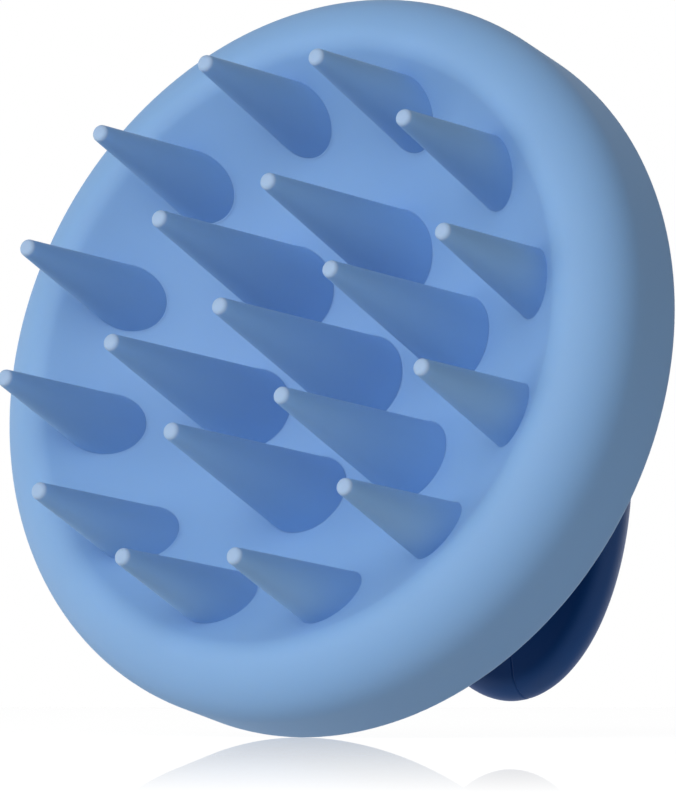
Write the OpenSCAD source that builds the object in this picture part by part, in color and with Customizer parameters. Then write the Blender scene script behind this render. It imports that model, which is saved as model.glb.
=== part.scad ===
// Palm-held scalp massager brush: a soft domed head with cone bristles on a
// T-shaped handle. The bristle tips stand on Z = 0, the handle is up, and the
// long way of the handle runs along X. All sizes are in millimetres.

/* [Head] */
// Outside diameter of the head
head_d = 79.3; // [78:0.1:82]
// Height of the rim's back edge above the bristle tips
head_back_z = 26.8; // [26:0.1:28]
// Radius of the hollow that the bristles stand in
dish_r = 45.3; // [44:0.1:47]
// Radius of the rolled rim
roll_r = 6.3; // [6:0.1:6.6]
// Height of the rim's roll centre above the bristle tips
roll_z = 19.1; // [18.5:0.1:19.5]
// Radius of the soft lip between the hollow and the rim
lip_r = 3; // [2.6:0.1:3.2]
// Radius on the back edge of the rim
back_edge_r = 1.2; // [0.8:0.1:1.6]
// Thickness of the soft skin
skin_t = 2.4; // [2:0.1:2.6]

/* [Bristles] */
// Height of the middle bristle above the floor of the hollow
bristle_h = 27.2; // [26.5:0.1:28]
// Spacing from the middle bristle to the first ring, and from ring to ring
ring_pitch = 13.9; // [13:0.1:14.2]
// Radius of a bristle's rounded tip
tip_r = 0.95; // [0.8:0.05:1.2]
// Angle between a bristle's side and its axis, in degrees
bristle_angle = 8.8; // [8:0.1:9.4]

/* [Carrier and cover] */
// Wall of the rigid carrier under the soft skin
carrier_t = 1.8; // [1.6:0.1:2]
// Number of ribs in the carrier's rim
rib_count = 12; // [6:1:16]
// Wall of the back cover
cover_t = 2; // [1.8:0.1:2.2]
// Height of the cover's flat top, where the handle stands
cover_z = 34.3; // [34.1:0.1:35]
// Radius of the cover's flat top
cover_flat_r = 17.4; // [17.2:0.1:19]

/* [Handle] */
// Length of the grip along X
grip_l = 57.1; // [54:0.1:60]
// Width of the grip along Y
grip_w = 30.7; // [30:0.1:34]
// Height of the grip's widest line above the bristle tips
grip_z = 54.6; // [53:0.1:55]
// Height of the grip's top above the bristle tips
overall_h = 62; // [61.5:0.1:64]
// Radius of the grip's rolled lower edge
grip_edge_r = 2.3; // [2.2:0.1:3]
// Half-length of the stem at its waist
waist_x = 12.5; // [12:0.1:14]
// Half-width of the stem at its waist
waist_y = 9.6; // [9.4:0.1:11]
// Height of the waist above the bristle tips
waist_z = 42; // [41:0.1:43]
// Half-length of the stem's foot
foot_x = 17; // [16:0.1:17]
// Half-width of the stem's foot
foot_y = 13.6; // [13:0.1:14]
// Wall of the handle shells
shell_t = 2.1; // [2:0.1:2.2]

/* [Hidden] */
$fn = 96;

// Head section, in (radius, height)
dish_c = [0, bristle_h - dish_r];
roll_c = [head_d / 2 - roll_r, roll_z];
lip_c = circles_meet(dish_c, dish_r + lip_r, roll_c, roll_r - lip_r);
wall_draft = 0.2;
wedge_l = 8;

// Bristles
bristle_tan = tan(bristle_angle);
root_depth = skin_t / 2;

// Back lip of the pad, and the cover's skirt inside it
lip_in_r = head_d / 2 - 6.2;
skirt_t = 1.8;
skirt_z = 22.4;
rib_t = 1.4;
cover_edge_r = head_d / 2 - 2.6;
cover_edge_z = head_back_z + 0.9;
dome_z = (pow(cover_edge_r, 2) + pow(cover_edge_z, 2) - pow(cover_flat_r, 2) - pow(cover_z, 2))
    / (2 * (cover_edge_z - cover_z));
dome_r = norm([cover_flat_r, cover_z - dome_z]);

// Screws through the carrier and the cover into the handle
screw_x = 6.9;
screw_y = 4.9;
screw_r = 1.5;
screw_hole_r = 1.7;
screw_head_r = 2.7;
screw_head_h = 1.9;
screw_l = 13;
seat_z = 30.9;
post_r = 4;
boss_r = 2.9;
pilot_r = 1.5;
pilot_l = 12;

// Locating pegs between the handle shells
peg_x = 19;
peg_z = 55.9;
peg_r = 1.1;
peg_l = 3;
peg_play = 0.05;
web_t = 1.6;

// Faces of the handle's outside and inside, around and up each stretch
outside = [48, 5, 8, 4, 8];
inside = [24, 3, 4, 2, 4];

// The point right of the line c1-c2 that is r1 from c1 and r2 from c2
function circles_meet(c1, r1, c2, r2) =
    let (d = norm(c2 - c1), u = (c2 - c1) / d, along = (r1 * r1 - r2 * r2 + d * d) / (2 * d))
    c1 + along * u + sqrt(r1 * r1 - along * along) * [u[1], -u[0]];

// Angles from first up to, but not including, last
function angles(first, last, steps) = [for (i = [0 : steps - 1]) first + (last - first) * i / steps];

// Half-width and height of the handle from foot to crown, for one half-width of
// foot, waist and grip, drawn in by inset
function handle_profile(foot, waist, grip, inset, faces) =
    let (foot_z = cover_z - inset, under_z = grip_z - grip_edge_r + inset, edge = grip_edge_r - inset,
         edge_c = grip - grip_edge_r)
    concat(
        [for (a = angles(0, 90, faces[1]))
            [foot - inset - (foot - waist) * sin(a), foot_z + (waist_z - foot_z) * (1 - cos(a))]],
        [for (a = angles(0, 90, faces[2]))
            [edge_c - (edge_c - waist + inset) * cos(a), waist_z + (under_z - waist_z) * sin(a)]],
        [for (a = angles(-90, 0, faces[3])) [edge_c + edge * cos(a), grip_z + edge * sin(a)]],
        [for (a = angles(0, 90, faces[4]))
            [(grip - inset) * cos(a), grip_z + (overall_h - grip_z - inset) * sin(a)]]
    );

// Skin of elliptical rings between a flat base and one point at the crown
module handle_loft(inset, faces) {
    long = handle_profile(foot_x, waist_x, grip_l / 2, inset, faces);
    wide = handle_profile(foot_y, waist_y, grip_w / 2, inset, faces);
    rings = len(long);
    n = faces[0];
    points = [for (k = [0 : rings - 1]) for (a = angles(0, 360, n))
        [long[k][0] * cos(a), wide[k][0] * sin(a), long[k][1]]];
    crown = [0, 0, overall_h - inset];
    base = [[for (j = [0 : n - 1]) j]];
    sides = [for (k = [0 : rings - 2]) for (j = [0 : n - 1]) let (m = (j + 1) % n)
        [k * n + j, (k + 1) * n + j, (k + 1) * n + m, k * n + m]];
    top = [for (j = [0 : n - 1]) [(rings - 1) * n + j, rings * n, (rings - 1) * n + (j + 1) % n]];
    polyhedron(concat(points, [crown]), concat(base, sides, top), convexity = 6);
}

// Section of the rolled rim, drawn in by inset and cut off at height top
module rim_section(inset, top) {
    wall_r = head_d / 2 - inset;
    to_dish = (dish_c - lip_c) / norm(dish_c - lip_c);
    to_rim = (lip_c - roll_c) / norm(lip_c - roll_c);
    difference() {
        union() {
            translate(roll_c) circle(roll_r - inset);
            polygon([[0, roll_z], [wall_r, roll_z], [wall_r - wall_draft, top], [0, top]]);
        }
        translate(dish_c) circle(dish_r + inset);
        if (lip_r > inset) difference() {
            polygon([lip_c, lip_c + wedge_l * to_dish, lip_c + 2 * wedge_l * (to_dish + to_rim),
                     lip_c + wedge_l * to_rim]);
            translate(lip_c) circle(lip_r - inset);
        }
    }
}

// Section of a plate that follows the hollow between two distances behind it
module dish_section(front, back) {
    intersection() {
        difference() {
            translate(dish_c) circle(dish_r + back);
            translate(dish_c) circle(dish_r + front);
        }
        translate([0, skirt_z]) square([roll_c[0] - lip_r, skirt_z]);
    }
}

// Section of the soft pad: hollow, rim, side wall and back lip
module pad_section() {
    corner = [head_d / 2 - wall_draft - back_edge_r, head_back_z - back_edge_r];
    dish_section(0, skin_t);
    difference() {
        rim_section(0, head_back_z);
        rim_section(skin_t, head_back_z - skin_t);
        translate([0, head_back_z - skin_t - 1]) square([lip_in_r, skin_t + 2]);
        difference() {
            translate(corner) square(2 * back_edge_r);
            translate(corner) circle(back_edge_r);
        }
    }
}

// One bristle: a cone that runs tangent into its rounded tip
module bristle() {
    tangent_z = tip_r * (1 - sin(bristle_angle));
    tangent_r = tip_r * cos(bristle_angle);
    length = bristle_h + skin_t;
    translate([0, 0, tip_r]) sphere(tip_r);
    translate([0, 0, tangent_z])
        cylinder(h = length - tangent_z, r1 = tangent_r, r2 = tangent_r + (length - tangent_z) * bristle_tan);
}

module bristle_rings() {
    bristle();
    for (k = [0 : 5]) rotate(30 + 60 * k) translate([ring_pitch, 0, 0]) bristle();
    for (k = [0 : 11]) rotate(30 * k) translate([2 * ring_pitch, 0, 0]) bristle();
}

// Soft one-piece pad with its bristles
module bristle_pad() {
    color([0.53, 0.67, 0.86]) union() {
        rotate_extrude() pad_section();
        intersection() {
            bristle_rings();
            translate([0, 0, dish_c[1]]) sphere(dish_r + root_depth);
        }
    }
}

// Copies its children at the four screw places
module at_screws() {
    for (sx = [-1, 1], sy = [-1, 1]) translate([sx * screw_x, sy * screw_y, 0]) children();
}

// Rigid plate that holds the pad's shape, with ribs in its rim and four screw posts
module pad_carrier() {
    plate_back = skin_t + carrier_t;
    post_top = cover_z - cover_t;
    color([0.16, 0.25, 0.42]) difference() {
        union() {
            rotate_extrude() {
                dish_section(skin_t, plate_back);
                difference() {
                    rim_section(skin_t, head_back_z - skin_t);
                    rim_section(plate_back, head_back_z);
                }
            }
            intersection() {
                rotate_extrude() rim_section(skin_t, skirt_z);
                for (k = [0 : rib_count - 1]) rotate(360 * (k + 0.5) / rib_count)
                    translate([head_d / 4, -rib_t / 2, 0]) cube([head_d / 4, rib_t, skirt_z]);
            }
            intersection() {
                at_screws() cylinder(h = post_top, r = post_r);
                difference() {
                    cylinder(h = post_top, r = cover_flat_r);
                    translate([0, 0, dish_c[1]]) sphere(dish_r + skin_t);
                }
            }
        }
        at_screws() cylinder(h = 2 * cover_z, r = screw_hole_r);
        at_screws() cylinder(h = seat_z, r = screw_head_r + 0.3);
    }
}

// Section of the domed back cover with its skirt
module cover_section() {
    inner_r = lip_in_r - skirt_t;
    difference() {
        union() {
            intersection() {
                translate([0, dome_z]) circle(dome_r, $fn = 360);
                translate([0, cover_edge_z]) square([cover_edge_r, cover_z - cover_edge_z]);
            }
            translate([0, head_back_z]) square([cover_edge_r, cover_edge_z - head_back_z]);
            translate([inner_r, skirt_z]) square([skirt_t, cover_edge_z - skirt_z]);
        }
        intersection() {
            translate([0, dome_z]) circle(dome_r - cover_t, $fn = 360);
            translate([0, skirt_z - 1]) square([inner_r, cover_z - cover_t - skirt_z + 1]);
        }
    }
}

// Rigid domed cover that closes the back and clamps the pad's lip
module back_cover() {
    color([0.10, 0.18, 0.33]) difference() {
        rotate_extrude() cover_section();
        translate([0, 0, cover_z - 2 * cover_t]) at_screws() cylinder(h = 3 * cover_t, r = screw_hole_r);
    }
}

// Hollow shell of the whole handle with its webs, bosses and screw pilots
module handle_body() {
    difference() {
        union() {
            difference() {
                handle_loft(0, outside);
                handle_loft(shell_t, inside);
            }
            intersection() {
                handle_loft(shell_t / 2, inside);
                union() {
                    at_screws() translate([0, 0, cover_z]) cylinder(h = pilot_l + 2, r = boss_r);
                    for (sx = [-1, 1]) translate([sx * peg_x - web_t / 2, -grip_w / 2, grip_z - grip_edge_r])
                        cube([web_t, grip_w, overall_h - grip_z]);
                    for (sx = [-1, 1]) translate([sx * peg_x, 0, peg_z]) rotate([90, 0, 0])
                        cylinder(h = 4 * peg_l, r = 2 * peg_r, center = true);
                }
            }
        }
        at_screws() translate([0, 0, cover_z - 1]) cylinder(h = pilot_l + 1, r = pilot_r);
    }
}

// Locating pegs on the seam, grown by play
module pegs(length, play) {
    for (sx = [-1, 1]) translate([sx * peg_x, 0, peg_z]) rotate([90, 0, 0])
        cylinder(h = 2 * length, r = peg_r + play, center = true);
}

// Handle shell on the -Y side, which carries the pegs
module handle_shell_front() {
    color([0.10, 0.18, 0.33]) union() {
        intersection() {
            handle_body();
            translate([-grip_l, -grip_w, 0]) cube([2 * grip_l, grip_w, 2 * overall_h]);
        }
        pegs(peg_l, 0);
    }
}

// Handle shell on the +Y side, which takes the pegs
module handle_shell_rear() {
    color([0.10, 0.18, 0.33]) difference() {
        intersection() {
            handle_body();
            translate([-grip_l, 0, 0]) cube([2 * grip_l, grip_w, 2 * overall_h]);
        }
        pegs(peg_l + 0.2, peg_play);
    }
}

// Four pan-head screws, driven from the front before the pad goes on
module base_screws() {
    color([0.75, 0.76, 0.78]) at_screws() difference() {
        union() {
            translate([0, 0, seat_z - screw_head_h]) cylinder(h = screw_head_h, r = screw_head_r);
            translate([0, 0, seat_z]) cylinder(h = screw_l, r = screw_r);
        }
        translate([0, 0, seat_z - screw_head_h]) for (a = [0, 90]) rotate(a)
            cube([2.6, 0.7, 1.8], center = true);
    }
}

bristle_pad();
pad_carrier();
back_cover();
handle_shell_front();
handle_shell_rear();
base_screws();
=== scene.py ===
import math

import bmesh
import bpy
from mathutils import Matrix, Vector


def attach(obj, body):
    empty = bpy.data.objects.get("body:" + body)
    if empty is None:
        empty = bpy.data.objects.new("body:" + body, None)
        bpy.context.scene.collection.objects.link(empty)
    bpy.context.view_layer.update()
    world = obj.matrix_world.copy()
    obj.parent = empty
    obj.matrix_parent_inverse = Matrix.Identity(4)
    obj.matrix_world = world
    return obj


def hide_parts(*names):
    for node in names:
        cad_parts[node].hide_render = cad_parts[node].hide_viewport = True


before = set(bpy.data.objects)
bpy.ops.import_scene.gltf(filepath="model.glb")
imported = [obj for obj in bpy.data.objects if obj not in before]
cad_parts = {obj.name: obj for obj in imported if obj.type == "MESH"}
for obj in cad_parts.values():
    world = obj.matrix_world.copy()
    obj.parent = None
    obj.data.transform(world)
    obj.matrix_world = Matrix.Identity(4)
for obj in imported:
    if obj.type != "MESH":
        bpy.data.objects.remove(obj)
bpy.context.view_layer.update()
mm = 0.001

print("camera")
cameraView = dict(lens=316.7, azimuth=-37.5, elevation=-50.57, roll=-116.9,
                  distance=749.3 * mm, aim=(1.14 * mm, 3.66 * mm, 27.2 * mm))


def viewAxes(azimuth, elevation, roll):
    # forward, right and up of a camera that looks from this azimuth and elevation
    a, e, r = (math.radians(v) for v in (azimuth, elevation, roll))
    forward = Vector((math.sin(a) * math.cos(e), math.cos(a) * math.cos(e), -math.sin(e)))
    levelRight = forward.cross(Vector((0, 0, 1))).normalized()
    levelUp = levelRight.cross(forward)
    up = levelUp * math.cos(r) + levelRight * math.sin(r)
    return forward, forward.cross(up), up


def addCamera(lens, azimuth, elevation, roll, distance, aim):
    forward, right, up = viewAxes(azimuth, elevation, roll)
    data = bpy.data.cameras.new("camera")
    data.lens = lens
    data.sensor_width = 36
    data.clip_start, data.clip_end = 0.01, 20
    camera = bpy.data.objects.new("camera", data)
    bpy.context.scene.collection.objects.link(camera)
    turn = Matrix((right, up, -forward)).transposed().to_4x4()
    camera.matrix_world = Matrix.Translation(Vector(aim) - forward * distance) @ turn
    bpy.context.scene.camera = camera
    return forward, up


viewForward, viewUp = addCamera(**cameraView)


# a shader socket that takes part in sums and products
class Sock:
    def __init__(self, tree, socket):
        self.tree, self.socket = tree, socket

    def join(self, operation, a, b):
        return self.tree.node("ShaderNodeMath", {"operation": operation}, {0: a, 1: b}).out(0)

    def __add__(self, other):
        return self.join("ADD", self, other)

    __radd__ = __add__

    def __mul__(self, other):
        return self.join("MULTIPLY", self, other)

    __rmul__ = __mul__

    def __sub__(self, other):
        return self.join("SUBTRACT", self, other)

    def __rsub__(self, other):
        return self.join("SUBTRACT", other, self)

    def __pow__(self, other):
        return self.join("POWER", self, other)

    def __truediv__(self, other):
        return self.join("DIVIDE", self, other)

    def __rtruediv__(self, other):
        return self.join("DIVIDE", other, self)

    def atMost(self, other):
        return self.join("MINIMUM", self, other)

    def atLeast(self, other):
        return self.join("MAXIMUM", self, other)


class NodeOf:
    def __init__(self, tree, node):
        self.tree, self.made = tree, node

    def out(self, name):
        return Sock(self.tree, self.made.outputs[name])


class Tree:
    def __init__(self, nodes, links):
        self.nodes, self.links = nodes, links

    def node(self, kind, settings=None, inputs=None):
        made = self.nodes.new(kind)
        for name, value in (settings or {}).items():
            setattr(made, name, value)
        for name, value in (inputs or {}).items():
            if isinstance(value, Sock):
                self.links.new(value.socket, made.inputs[name])
            else:
                made.inputs[name].default_value = value
        return NodeOf(self, made)


def newMaterial(name):
    material = bpy.data.materials.new(name)
    material.use_nodes = True
    material.node_tree.nodes.clear()
    return material, Tree(material.node_tree.nodes, material.node_tree.links)


white = (1, 1, 1, 1)


def directSight(tree):
    # 1 for what the camera sees straight, in a mirror or through glass, 0 for the light that lands
    rays = tree.node("ShaderNodeLightPath")
    sight = rays.out("Is Camera Ray") + rays.out("Is Glossy Ray") + rays.out("Is Transmission Ray")
    return sight.atMost(1.0)


def linear(shade):
    # sRGB 0 to 255 to the linear colour that sockets take
    values = [v / 255 for v in shade]
    return tuple(v / 12.92 if v <= 0.04045 else ((v + 0.055) / 1.055) ** 2.4 for v in values) + (1,)


print("materials")
# padFinish's tip colour is a painted highlight on the bristles' ends, not a colour the silicone has
padFinish = dict(colour=(130, 172, 218), deep=(127, 169, 216), tip=(160, 187, 220),
                 roughness=0.68, gloss=0.5, grain=5200, grainBump=0.03, cloud=60,
                 scatter=0.2, scatterDepth=1.2 * mm)
handleFinish = dict(colour=(21, 74, 138), deep=(19, 70, 131), tip=None, roughness=0.5, gloss=0.25,
                    grain=4800, grainBump=0.04, cloud=70, scatter=0.0, scatterDepth=1.0 * mm)
carrierFinish = dict(colour=(38, 60, 100), deep=(34, 55, 94), tip=None, roughness=0.42, gloss=0.4,
                     grain=2600, grainBump=0.02, cloud=50, scatter=0.0, scatterDepth=1.0 * mm)
screwFinish = dict(colour=(190, 192, 196), roughness=0.3, streakRough=0.15, streak=900.0)
# heights in mm over which the painted highlight on the bristle tips fades out
tipHighlightFade = (0.25, 0.75)
grainRough = 0.08
grainHeight = 0.1 * mm


def noise(tree, place, scale, detail):
    return tree.node("ShaderNodeTexNoise", {}, {"Vector": place, "Scale": scale, "Detail": detail}).out("Fac")


def softMaterial(name, colour, deep, tip, roughness, gloss, grain, grainBump, cloud, scatter, scatterDepth):
    # moulded plastic or silicone: a cloudy tint and a fine grain, and where tip is given, bristle ends
    # painted paler as a painted highlight
    material, tree = newMaterial(name)
    place = tree.node("ShaderNodeTexCoord").out("Object")
    clouds = noise(tree, place, cloud, 3.0)
    grains = noise(tree, place, grain, 2.0)
    tint = tree.node("ShaderNodeMix", {"data_type": "RGBA"},
                     {"Factor": clouds, "A": linear(deep), "B": linear(colour)}).made.outputs["Result"]
    if tip:
        # the bristles' ends are painted paler, a painted highlight standing in for the key lamp's light on
        # the tips, between two heights in mm above the plane of the tips
        height = tree.node("ShaderNodeSeparateXYZ", {}, {"Vector": place}).out("Z")
        paintedTipHighlight = tree.node("ShaderNodeMapRange", {"interpolation_type": "SMOOTHSTEP"}, {
            "Value": height, "From Min": tipHighlightFade[0] * mm, "From Max": tipHighlightFade[1] * mm,
            "To Min": 1.0, "To Max": 0.0})
        # mixes the painted tip highlight into the tint
        tint = tree.node("ShaderNodeMix", {"data_type": "RGBA"}, {
            "Factor": paintedTipHighlight.out("Result"), "A": Sock(tree, tint), "B": linear(tip)}).made.outputs["Result"]
    bump = tree.node("ShaderNodeBump", {}, {
        "Height": grains, "Strength": grainBump, "Distance": grainHeight})
    shader = tree.node("ShaderNodeBsdfPrincipled", {}, {
        "Base Color": Sock(tree, tint),
        "Roughness": roughness - grainRough / 2 + grainRough * grains,
        "Normal": bump.out("Normal"),
        "Specular IOR Level": gloss,
        "Subsurface Weight": scatter,
        "Subsurface Scale": scatterDepth,
        "Subsurface Radius": (0.4, 0.7, 1.0)})
    tree.node("ShaderNodeOutputMaterial", {}, {"Surface": shader.out("BSDF")})
    return material


def steelMaterial(name, colour, roughness, streakRough, streak):
    # plated steel whose roughness wanders a little
    material, tree = newMaterial(name)
    place = tree.node("ShaderNodeTexCoord").out("Object")
    streaks = noise(tree, place, streak, 3.0)
    shader = tree.node("ShaderNodeBsdfPrincipled", {}, {
        "Base Color": linear(colour), "Metallic": 1.0, "Roughness": roughness + streakRough * streaks})
    tree.node("ShaderNodeOutputMaterial", {}, {"Surface": shader.out("BSDF")})
    return material


softSilicone = softMaterial("softSilicone", **padFinish)
softTouchNavy = softMaterial("softTouchNavy", **handleFinish)
carrierPlastic = softMaterial("carrierPlastic", **carrierFinish)
zincSteel = steelMaterial("zincSteel", **screwFinish)


mergeWithin = 0.001
cutWithin = 0.0001


def arc(centre, radius, first, last, steps, ends=(True, True)):
    # points along an arc in (radius, height), angles in degrees
    made = []
    for i in range(0 if ends[0] else 1, steps + (1 if ends[1] else 0)):
        a = math.radians(first + (last - first) * i / steps)
        made.append((centre[0] + radius * math.cos(a), centre[1] + radius * math.sin(a)))
    return made


def spun(bm, section, steps, closed, centre=(0, 0)):
    # turns a section of (radius, height) points in mm right round the upright line through centre
    x, y = centre[0] * mm, centre[1] * mm
    points = [p for p, last in zip(section, [(-1, 0)] + section) if math.dist(p, last) > mergeWithin]
    made = [bm.verts.new((x + r * mm, y, z * mm)) for r, z in points]
    edges = [bm.edges.new(pair) for pair in zip(made, made[1:])]
    if closed:
        edges.append(bm.edges.new((made[-1], made[0])))
    bmesh.ops.spin(bm, geom=made + edges, cent=(x, y, 0), axis=(0, 0, 1), angle=math.tau,
                   steps=steps, use_merge=True)
    onAxis = [v for v in bm.verts if math.hypot(v.co.x - x, v.co.y - y) < mergeWithin * mm]
    bmesh.ops.remove_doubles(bm, verts=onAxis, dist=mergeWithin * mm)


sharpFrom = 35


def meshObject(name, bm, material):
    bmesh.ops.recalc_face_normals(bm, faces=bm.faces)
    mesh = bpy.data.meshes.new(name)
    bm.to_mesh(mesh)
    bm.free()
    made = bpy.data.objects.new(name, mesh)
    bpy.context.scene.collection.objects.link(made)
    mesh.materials.append(material)
    smooth(made)
    return made


def smooth(piece, angle=sharpFrom):
    # smooth shading, with edges that turn by more than angle left sharp
    piece.data.shade_smooth()
    piece.data.set_sharp_from_angle(angle=math.radians(angle))


def applied(piece):
    # swaps a piece's mesh for the one that its modifiers make
    made = bpy.data.meshes.new_from_object(piece.evaluated_get(bpy.context.evaluated_depsgraph_get()))
    piece.modifiers.clear()
    piece.data = made


def joined(piece, operation, *tools):
    # adds to, cuts or trims a piece with other meshes, which are then gone
    for tool in tools:
        step = piece.modifiers.new("join", "BOOLEAN")
        step.operation = operation
        step.solver = "EXACT"
        step.object = tool
    applied(piece)
    for tool in tools:
        bpy.data.objects.remove(tool)
    return piece


def rods(name, places, radius, low, high, material, turn=Matrix()):
    # round rods along Z at (x, y) places in mm, between two heights, then turned
    bm = bmesh.new()
    for x, y in places:
        stand = Matrix.Translation((x * mm, y * mm, (low + high) / 2 * mm))
        bmesh.ops.create_cone(bm, cap_ends=True, segments=40, radius1=radius * mm, radius2=radius * mm,
                              depth=(high - low) * mm, matrix=turn @ stand)
    return meshObject(name, bm, material)


def settle(piece, slot, *nodes):
    # hands a finished piece over in place of its CAD nodes
    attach(piece, "root")
    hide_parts(*nodes)


print("pad")
head = dict(radius=39.65, backZ=26.8, draft=0.2, backEdge=1.2, dishR=45.3, floorZ=27.2,
            rollR=6.3, rollZ=19.1, lipR=3.0, skin=2.4, lipInner=33.45, lipEdge=0.5, steps=192)


def lipCentre(head):
    # centre of the lip's circle: it touches the hollow's circle and sits inside the roll's
    dish = Vector((0, head["floorZ"] - head["dishR"]))
    roll = Vector((head["radius"] - head["rollR"], head["rollZ"]))
    near, far = head["dishR"] + head["lipR"], head["rollR"] - head["lipR"]
    apart = (roll - dish).length
    way = (roll - dish) / apart
    along = (near ** 2 - far ** 2 + apart ** 2) / (2 * apart)
    aside = math.sqrt(near ** 2 - along ** 2)
    return dish, roll, dish + way * along + Vector((way.y, -way.x)) * aside


def angleOf(v):
    return math.degrees(math.atan2(v.y, v.x))


def padSection(head):
    # the closed section: outside from the middle of the hollow round to the back lip, then the inside
    dish, roll, lip = lipCentre(head)
    toDish = angleOf(dish - lip) % 360
    toRim = angleOf(lip - roll) % 360
    skin, wall, back = head["skin"], head["radius"], head["backZ"]
    edge, lipEdge, inLip = head["backEdge"], head["lipEdge"], head["lipInner"]
    corner = (wall - head["draft"] - edge, back - edge)
    outside = arc(dish, head["dishR"], 90, toDish - 180, 40)
    outside += arc(lip, head["lipR"], toDish, toRim, 12, (False, True))
    outside += arc(roll, head["rollR"], toRim, 360, 20, (False, True))
    outside += [(wall - head["draft"] * t / 4, head["rollZ"] + (corner[1] - head["rollZ"]) * t / 4)
                for t in range(1, 4)]
    outside += arc(corner, edge, 0, 90, 6)
    outside += arc((inLip + lipEdge, back - lipEdge), lipEdge, 90, 180, 3)
    under = back - skin
    inside = [(inLip, under), (wall - skin - head["draft"], under), (wall - skin, head["rollZ"])]
    inside += arc(roll, head["rollR"] - skin, 360, toRim, 8, (False, True))
    inside += arc(lip, head["lipR"] - skin, toRim, toDish, 3)
    inside += arc(dish, head["dishR"] + skin, toDish - 180, 90, 24, (False, True))
    return outside + inside


# the flare is in fillets: out from the neck, and down from the hollow
bristles = dict(pitch=13.9, tipR=1.05, halfAngle=8.55, tipRound=0.5, capR=2.5, fillet=0.16, neck=1.4,
                flare=((0.2, 0.5), (0.55, 0.12), (1.1, -0.15), (-1.5, -3.0)),
                around=48, up=14, settling=12)


def dishHeight(head, r):
    # the hollow's height at a distance from the middle
    return head["floorZ"] - head["dishR"] + math.sqrt(head["dishR"] ** 2 - r * r)


def bristleSection(head, b):
    # the middle bristle from its blunt tip to a foot that flares into the hollow and ends inside the skin
    lean, fillet = math.radians(b["halfAngle"]), b["fillet"]
    slope = math.tan(lean)
    flatR = b["tipR"] - b["tipRound"]
    flatEnd = math.degrees(math.asin(flatR / b["capR"]))
    made = arc((0, b["capR"]), b["capR"], -90, -90 + flatEnd, 3)
    flatTurn = math.radians(flatEnd)
    turnC = Vector(made[-1]) + b["tipRound"] * Vector((-math.sin(flatTurn), math.cos(flatTurn)))
    made += arc(turnC, b["tipRound"], -90 + flatEnd, -b["halfAngle"], 6, (False, False))
    start = turnC + b["tipRound"] * Vector((math.cos(lean), -math.sin(lean)))
    neckZ = head["floorZ"] - b["neck"] * fillet
    neckR = start.x + (neckZ - start.y) * slope
    made += [(start.x + (neckR - start.x) * k / b["up"], start.y + (neckZ - start.y) * k / b["up"])
             for k in range(b["up"] + 1)]
    for out, under in b["flare"]:
        r = neckR + out * fillet
        made.append((r, dishHeight(head, r) - under * fillet))
    made.append((0, made[-1][1]))
    return made, start, Vector((neckR, neckZ)), slope


def addBristle(bristleMesh, head, b, centre):
    # a spun bristle, let down onto the hollow where it stands, is added to the mesh of the others
    section, start, neck, slope = bristleSection(head, b)
    bm = bmesh.new()
    spun(bm, section, b["around"], False, centre)
    middle = Vector(centre)
    for v in bm.verts:
        height = v.co.z / mm
        if height <= start.y:
            continue
        out = v.co.xy / mm - middle
        onSide = height < neck.y - mergeWithin
        share = (height - start.y) / (neck.y - start.y) if onSide else 1.0
        probe = neck.x if onSide else out.length
        way = out.normalized()
        drop = 0.0
        for _ in range(b["settling"]):
            stand = (middle + way * (probe + drop * slope)).length
            drop = dishHeight(head, stand) - dishHeight(head, probe)
        grown = middle + out + way * (drop * share * slope)
        v.co = Vector((grown.x, grown.y, height + drop * share)) * mm
    bm.from_mesh(bristleMesh)
    bm.to_mesh(bristleMesh)
    bm.free()


def bristlePlaces(pitch):
    # one in the middle, six round it and twelve round those
    made = [(0.0, 0.0)]
    for count, radius, first in ((6, pitch, 30), (12, 2 * pitch, 0)):
        for k in range(count):
            a = math.radians(first + 360 * k / count)
            made.append((radius * math.cos(a), radius * math.sin(a)))
    return made


def makePad():
    body = bmesh.new()
    spun(body, padSection(head), head["steps"], True)
    skin = meshObject("bristlePad", body, softSilicone)
    bristleMesh = bpy.data.meshes.new("bristles")
    for centre in bristlePlaces(bristles["pitch"]):
        addBristle(bristleMesh, head, bristles, centre)
    cones = bmesh.new()
    cones.from_mesh(bristleMesh)
    joined(skin, "UNION", meshObject("bristleCones", cones, softSilicone))
    smooth(skin)
    return skin


pad = makePad()
settle(pad, "soft_pad", "bristle_pad")
print("pad faces", len(pad.data.polygons))


print("handle")
# foot, waist and grip each have half a length and half a width
handle = dict(foot=(17.0, 13.6), footZ=34.3, waist=(12.5, 9.6), waistZ=42.0, grip=(28.55, 15.35), gripZ=54.6,
              topZ=62.0, edgeR=2.3, wall=2.1, steps=160, grooveWide=0.17, grooveDeep=0.12, gap=0.001,
              sharpFrom=32)
fittings = dict(screws=(6.9, 4.9), bossR=2.5, pilotR=1.5, pilotZ=46.3, bossZ=48.3, webX=19.0, webT=1.6,
                webZ=(52.3, 59.7), pegZ=55.9, pegR=1.1, pegL=3.0, play=0.05)


def quarter(steps):
    # angles over a quarter turn, without its end
    return [math.pi / 2 * i / steps for i in range(steps)]


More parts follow.
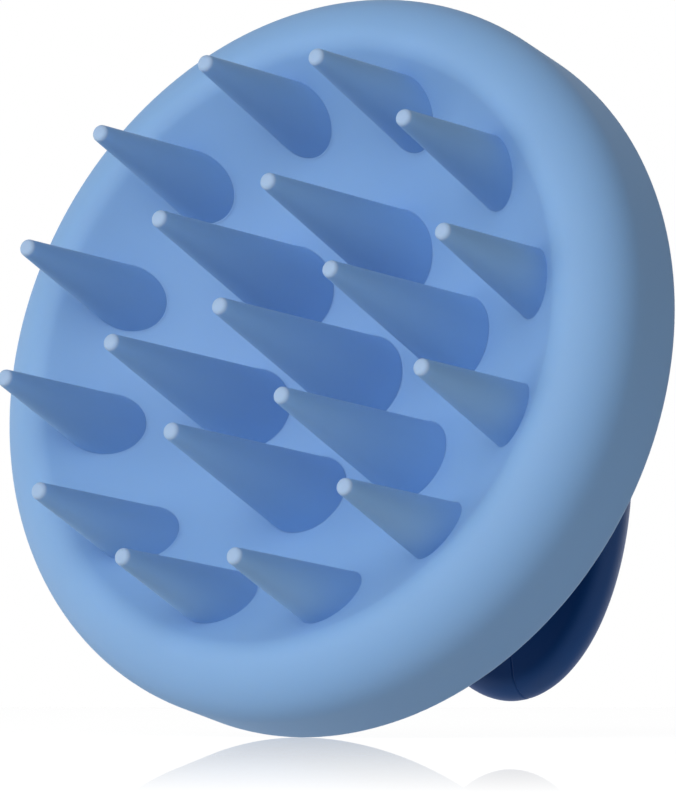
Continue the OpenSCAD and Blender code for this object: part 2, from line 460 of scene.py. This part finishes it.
def handleSection(h, side, inset):
    # half-width against height from the foot to just under the crown, drawn in by inset
    foot, waist, grip = (h[part][side] for part in ("foot", "waist", "grip"))
    low, under, edge = h["footZ"] - inset, h["gripZ"] - h["edgeR"] + inset, h["edgeR"] - inset
    edgeC = grip - h["edgeR"]
    made = [(foot - inset - (foot - waist) * math.sin(a), low + (h["waistZ"] - low) * (1 - math.cos(a)))
            for a in quarter(14)]
    made += [(edgeC - (edgeC - waist + inset) * math.cos(a),
              h["waistZ"] + (under - h["waistZ"]) * math.sin(a)) for a in quarter(24)]
    made += [(edgeC + edge * math.sin(a), h["gripZ"] - edge * math.cos(a)) for a in quarter(12)]
    made += [((grip - inset) * math.cos(a), h["gripZ"] + (h["topZ"] - h["gripZ"] - inset) * math.sin(a))
             for a in quarter(26)]
    return made


def handleForm(name, h, inset, groove=False):
    # the closed oval form of the whole handle, drawn in by inset
    long, wide = (handleSection(h, side, inset) for side in (0, 1))
    bm = bmesh.new()
    spun(bm, long + [(0, h["topZ"] - inset)], h["steps"], False)
    rings = {}
    for v in bm.verts:
        rings.setdefault(round(v.co.z / mm, 3), []).append(v)
    for (a, z), (b, _) in zip(long, wide):
        bmesh.ops.scale(bm, vec=(1, b / a, 1), verts=rings[round(z, 3)])
    bmesh.ops.holes_fill(bm, edges=[e for e in bm.edges if e.is_boundary], sides=0)
    bmesh.ops.recalc_face_normals(bm, faces=bm.faces)
    if groove:
        for y in (-h["grooveWide"], 0, h["grooveWide"]):
            bmesh.ops.bisect_plane(bm, geom=bm.verts[:] + bm.edges[:] + bm.faces[:], dist=cutWithin * mm,
                                   plane_co=(0, y * mm, 0), plane_no=(0, 1, 0))
        bm.normal_update()
        for v in [v for v in bm.verts if abs(v.co.y) < mergeWithin * mm]:
            v.co -= v.normal * min(h["grooveDeep"] * mm, (v.co.z - h["footZ"] * mm) / 2)
    return meshObject(name, bm, softTouchNavy)


def cornersOf(x, y):
    # the four screw places
    return [(sx * x, sy * y) for sx in (-1, 1) for sy in (-1, 1)]


def block(name, low, high):
    # a box between two corners in mm
    bm = bmesh.new()
    bmesh.ops.create_cube(bm, size=1)
    size, middle = (Vector(high) - Vector(low)) * mm, (Vector(high) + Vector(low)) / 2 * mm
    bmesh.ops.scale(bm, vec=size, verts=bm.verts)
    bmesh.ops.translate(bm, vec=middle, verts=bm.verts)
    return meshObject(name, bm, softTouchNavy)


def pegRods(f, length, play):
    # rods across the seam; turned so that they run along Y
    acrossSeam = Matrix.Rotation(math.pi / 2, 4, "X")
    places = [(sx * f["webX"], f["pegZ"]) for sx in (-1, 1)]
    return rods("pegs", places, f["pegR"] + play, -length, length, softTouchNavy, acrossSeam)


def makeHandleBody(h, f):
    # the whole hollow handle with its screw bosses and webs, before it is parted at the seam
    outside, inside = handleForm("handleBody", h, 0, groove=True), handleForm("inside", h, h["wall"])
    body = joined(outside, "DIFFERENCE", inside)
    held = rods("bosses", cornersOf(*f["screws"]), f["bossR"], h["footZ"], f["bossZ"], softTouchNavy)
    half, width = f["webT"] / 2, h["grip"][1]
    webs = [block("web", (x - half, -width, f["webZ"][0]), (x + half, width, f["webZ"][1]))
            for x in (-f["webX"], f["webX"])]
    joined(held, "UNION", *webs)
    joined(held, "INTERSECT", handleForm("middle", h, h["wall"] / 2))
    joined(body, "UNION", held)
    return joined(body, "DIFFERENCE", rods("pilots", cornersOf(*f["screws"]), f["pilotR"], h["footZ"] - 1,
                                           f["pilotZ"], softTouchNavy))


def makeShell(name, body, side, h, f):
    # one side of the body, with its pegs or the sockets for them
    bm = bmesh.new()
    bm.from_mesh(body.data)
    bmesh.ops.bisect_plane(bm, geom=bm.verts[:] + bm.edges[:] + bm.faces[:], dist=cutWithin * mm,
                           clear_outer=True, plane_co=(0, side * h["gap"] * mm, 0), plane_no=(0, -side, 0))
    bmesh.ops.triangle_fill(bm, edges=[e for e in bm.edges if e.is_boundary], use_beauty=True,
                            use_dissolve=False, normal=(0, -side, 0))
    shell = meshObject(name, bm, softTouchNavy)
    if side < 0:
        joined(shell, "UNION", pegRods(f, f["pegL"], 0))
    else:
        joined(shell, "DIFFERENCE", pegRods(f, f["pegL"], f["play"]))
    smooth(shell, h["sharpFrom"])
    return shell


handleBody = makeHandleBody(handle, fittings)
for name, side, node in (("handleShellFront", -1, "handle_shell_front"),
                         ("handleShellRear", 1, "handle_shell_rear")):
    shell = makeShell(name, handleBody, side, handle, fittings)
    settle(shell, "handle_plastic", node)
    print(name, len(shell.data.polygons))
bpy.data.objects.remove(handleBody)


print("cover")
cover = dict(edgeR=37.05, edgeZ=27.7, underZ=26.8, topZ=34.3, flatR=17.4, wall=2.0, round=0.4,
             skirtOut=33.45, skirtIn=31.65, skirtZ=22.4, screwHoleR=1.7, steps=192)


def coverSection(c):
    # flat top, domed shoulder, edge and skirt; the dome is the ball through the flat's rim and the edge
    ballZ = ((c["edgeR"] ** 2 + c["edgeZ"] ** 2 - c["flatR"] ** 2 - c["topZ"] ** 2)
             / (2 * (c["edgeZ"] - c["topZ"])))
    ballR = math.hypot(c["flatR"], c["topZ"] - ballZ)

    def dome(first, last, radius, steps):
        reach = [first + (last - first) * t / steps for t in range(steps + 1)]
        return [(r, ballZ + math.sqrt(radius ** 2 - r * r)) for r in reach]

    inTop, inR = c["topZ"] - c["wall"], ballR - c["wall"]
    inFlat = math.sqrt(inR ** 2 - (inTop - ballZ) ** 2)
    made = [(0, c["topZ"]), (c["flatR"] - 0.5, c["topZ"])]
    made += dome(c["flatR"] + 0.2, c["edgeR"] - c["round"], ballR, 24)
    made += arc((c["edgeR"] - c["round"], c["edgeZ"] - c["round"]), c["round"], 60, 0, 4)
    made += [(c["edgeR"], c["underZ"]), (c["skirtOut"], c["underZ"]), (c["skirtOut"], c["skirtZ"]),
             (c["skirtIn"], c["skirtZ"])]
    made += dome(c["skirtIn"], inFlat, inR, 12)
    made += [(0, inTop)]
    return made


def makeCover():
    bm = bmesh.new()
    spun(bm, coverSection(cover), cover["steps"], False)
    made = meshObject("backCover", bm, softTouchNavy)
    joined(made, "DIFFERENCE", rods("screwHoles", cornersOf(*fittings["screws"]), cover["screwHoleR"],
                                    cover["topZ"] - 2 * cover["wall"], cover["topZ"] + 1, softTouchNavy))
    smooth(made)
    return made


settle(makeCover(), "cover_plastic", "back_cover")

for node, material in (("pad_carrier", carrierPlastic), ("base_screws", zincSteel)):
    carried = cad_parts[node]
    carried.data.materials.clear()
    carried.data.materials.append(material)


print("stage and light")
stageLook = dict(tilt=2.14, reach=0.42, back=0.5, wide=0.35, mirror=0.58, falloff=6,
                 fadeEnd=0.331, glow=0.94, plain=0.2)


def floorMaterial(look, distance):
    # white towards the eye, a little shaded by the brush; its reflection fades towards the eye
    material, tree = newMaterial("paleFloor")
    seen = directSight(tree)
    place = tree.node("ShaderNodeTexCoord").out("Object")
    away = tree.node("ShaderNodeSeparateXYZ", {}, {"Vector": place}).out("Y")
    gone = distance / (distance - look["fadeEnd"]) - 1
    nearer = distance / (away + distance) - 1
    grazing = tree.node("ShaderNodeLayerWeight").out("Facing")
    strength = (look["mirror"] * (1 - nearer / gone)).atMost(look["mirror"]).atLeast(0.0)
    strength = strength * grazing ** look["falloff"]
    glow = tree.node("ShaderNodeEmission", {}, {"Color": white, "Strength": look["glow"] * seen})
    plain = tree.node("ShaderNodeBsdfDiffuse", {}, {"Color": (look["plain"],) * 3 + (1,)})
    both = tree.node("ShaderNodeAddShader", {}, {0: glow.out(0), 1: plain.out(0)})
    gloss = tree.node("ShaderNodeBsdfGlossy", {}, {"Color": white, "Roughness": 0.0})
    front = tree.node("ShaderNodeMixShader", {}, {"Fac": strength, 1: both.out(0), 2: gloss.out(0)})
    clear = tree.node("ShaderNodeBsdfTransparent")
    behind = tree.node("ShaderNodeNewGeometry").out("Backfacing")
    shown = tree.node("ShaderNodeMixShader", {}, {"Fac": behind, 1: front.out(0), 2: clear.out(0)})
    tree.node("ShaderNodeOutputMaterial", {}, {"Surface": shown.out(0)})
    return material


def addFloor(look, *stands):
    # a floor that the rim stands on, nearly edge-on to the camera
    t = math.radians(look["tilt"])
    normal = viewUp * math.cos(t) + viewForward * math.sin(t)
    away = viewForward * math.cos(t) - viewUp * math.sin(t)
    foot = min((v.co for piece in stands for v in piece.data.vertices), key=normal.dot)
    distance = (foot - bpy.context.scene.camera.matrix_world.translation).dot(away)
    bm = bmesh.new()
    bmesh.ops.create_grid(bm, x_segments=1, y_segments=1, size=1)
    for v in bm.verts:
        v.co.x *= look["wide"]
        v.co.y *= look["back"] if v.co.y > 0 else look["reach"]
    mesh = bpy.data.meshes.new("floor")
    bm.to_mesh(mesh)
    bm.free()
    floor = bpy.data.objects.new("floor", mesh)
    bpy.context.scene.collection.objects.link(floor)
    turn = Matrix((away.cross(normal), away, normal)).transposed().to_4x4()
    floor.matrix_world = Matrix.Translation(foot) @ turn
    floor.visible_shadow = False
    floor.visible_diffuse = False
    mesh.materials.append(floorMaterial(look, distance))


addFloor(stageLook, pad)


lamps = dict(
    key=dict(way=(-0.03, -0.12, -1), size=(0.75, 1.15), watts=9.9),
    left=dict(way=(0, 0.86, -0.19), size=(0.8, 1.1), watts=3.9),
    right=dict(way=(0.22, -0.93, -0.13), size=(0.7, 0.8), watts=1.07),
    under=dict(way=(0.93, 0, 0.02), size=(1.2, 0.6), watts=2.74),
    crown=dict(way=(0, 0, 1), size=(0.6, 0.6), watts=1.5))
lampStand = 1.0
lampAim = Vector((0, 0, 27 * mm))
worldLevel = 0.07


def addLamp(name, way, size, watts):
    # a soft lamp that stands off from the middle of the brush and faces it
    data = bpy.data.lights.new(name, "AREA")
    data.shape = "RECTANGLE"
    data.size, data.size_y = size
    data.energy = watts
    lamp = bpy.data.objects.new(name, data)
    bpy.context.scene.collection.objects.link(lamp)
    away = Vector(way).normalized()
    along = Vector((0, 1, 0)) if abs(away.y) < 0.7 else Vector((0, 0, 1))
    side = along.cross(away).normalized()
    turn = Matrix((side, away.cross(side), away)).transposed().to_4x4()
    lamp.matrix_world = Matrix.Translation(lampAim + away * lampStand) @ turn
    lamp.visible_camera = False


for name, lamp in lamps.items():
    addLamp(name, **lamp)


def setWorld(level):
    # white to the eye, and an even dim light on the brush
    world = bpy.data.worlds.new("studio")
    bpy.context.scene.world = world
    world.use_nodes = True
    world.node_tree.nodes.clear()
    tree = Tree(world.node_tree.nodes, world.node_tree.links)
    seen = directSight(tree)
    sky = tree.node("ShaderNodeBackground", {}, {"Color": white, "Strength": level + (1 - level) * seen})
    tree.node("ShaderNodeOutputWorld", {}, {"Surface": sky.out("Background")})


setWorld(worldLevel)
bpy.context.scene.view_settings.view_transform = "Standard"
